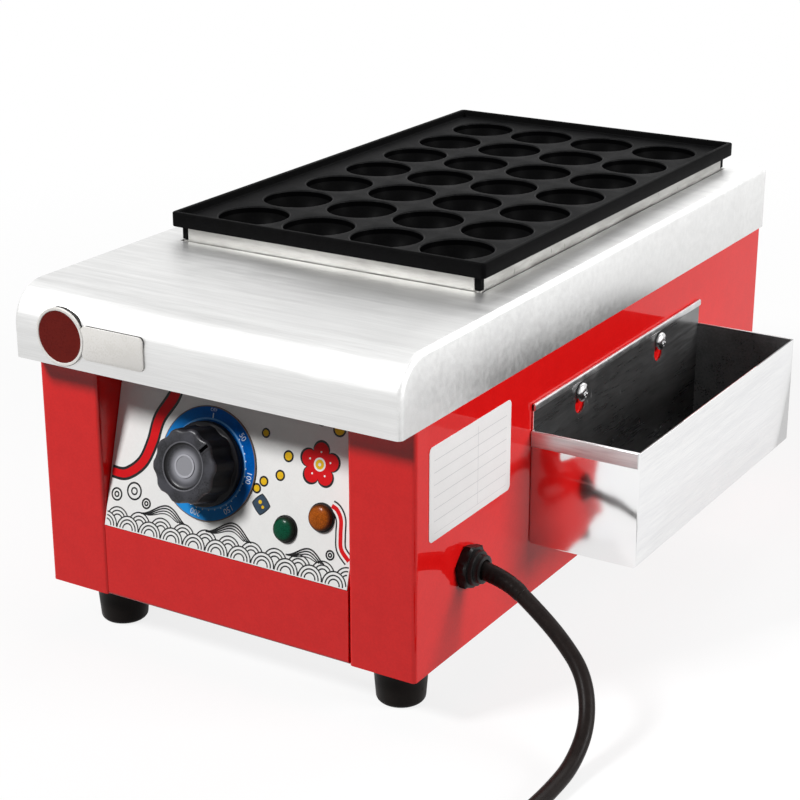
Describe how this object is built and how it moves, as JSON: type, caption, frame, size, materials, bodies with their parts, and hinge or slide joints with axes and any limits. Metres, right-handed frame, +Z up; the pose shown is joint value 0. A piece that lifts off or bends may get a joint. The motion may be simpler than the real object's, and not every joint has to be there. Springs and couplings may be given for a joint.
{
  "type": "takoyaki maker",
  "caption": "Electric countertop takoyaki maker: red steel body, stainless cover, black plate of round cups, leaning control panel with a thermostat knob, side tray and rubber feet.",
  "frame": {"origin": "on the surface the feet stand on, under the middle of the object without its cord", "axes": "+Z up, +Y from the control panel to the rear, +X to the side that carries the tray"},
  "size_m": [0.4844, 0.6356, 0.2242],
  "materials": {
    "red_paint": "satin stoved enamel with a fine orange peel",
    "panel_print": "printed satin overlay",
    "cover_steel": "fine brushed stainless sheet",
    "tray_steel": "bright stainless sheet",
    "plain_steel": "plain zinc-plated sheet",
    "cast_plate": "black seasoned casting",
    "element_tube": "oxidised tubular element",
    "fibre_mat": "ceramic fibre",
    "dial_blue": "printed aluminium disc",
    "knob_plastic": "dark grey moulded phenolic",
    "lens_green": "translucent green",
    "lens_amber": "translucent amber",
    "black_plastic": "black nylon",
    "ivory_plastic": "ivory thermoset",
    "foot_rubber": "black rubber",
    "cord_rubber": "black rubber sheath",
    "fastener": "bright plated steel",
    "copper": "drawn copper",
    "brass": "bare brass"
  },
  "bodies": {
    "housing": {"left_side_panel": "red_paint", "right_side_panel": "red_paint", "front_panel": "red_paint", "control_fascia": "panel_print", "top_cover": "cover_steel", "rear_panel": "red_paint", "base_plate": "plain_steel", "rubber_feet": "foot_rubber", "foot_screws": "fastener", "support_rails": "plain_steel", "heater_box": "cover_steel", "heating_elements": "element_tube", "element_collars": "fastener", "element_bridges": "plain_steel", "insulation_mat": "fibre_mat", "heat_shield": "plain_steel", "thermostat": "ivory_plastic", "thermostat_nut": "fastener", "sensing_bulb": "copper", "capillary_tube": "copper", "dial_plate": "dial_blue", "green_lens": "lens_green", "amber_lens": "lens_amber", "lamp_holders": "black_plastic", "lamp_clips": "fastener", "cable_gland": "black_plastic", "gland_locknut": "black_plastic", "inner_cable": "cord_rubber", "terminal_block": "ivory_plastic", "earth_stud": "brass", "tray_screws": "fastener", "tray_rivnuts": "fastener", "power_cord": "cord_rubber", "cord_coil": "cord_rubber", "cord_tail": "cord_rubber", "mains_plug": "black_plastic", "plug_blades": "brass"},
    "knob": {"control_knob": "knob_plastic", "thermostat_shaft": "brass"},
    "griddle": {"griddle_plate": "cast_plate"},
    "tray": {"side_tray": "tray_steel"}
  },
  "joints": [
    {"name": "knob_turn", "type": "hinge", "parent": "housing", "child": "knob", "pos_m": [-0.0473, -0.2043, 0.11757], "axis": [0, 0.9659, -0.2588], "range_deg": [-45, 255]},
    {"name": "griddle_lift", "type": "slide", "parent": "housing", "child": "griddle", "axis": [0, 0, 1], "range_m": [0, 0.06]},
    {"name": "tray_lift", "type": "slide", "parent": "housing", "child": "tray", "axis": [0, 0, 1], "range_m": [0, 0.0065]}
  ]
}
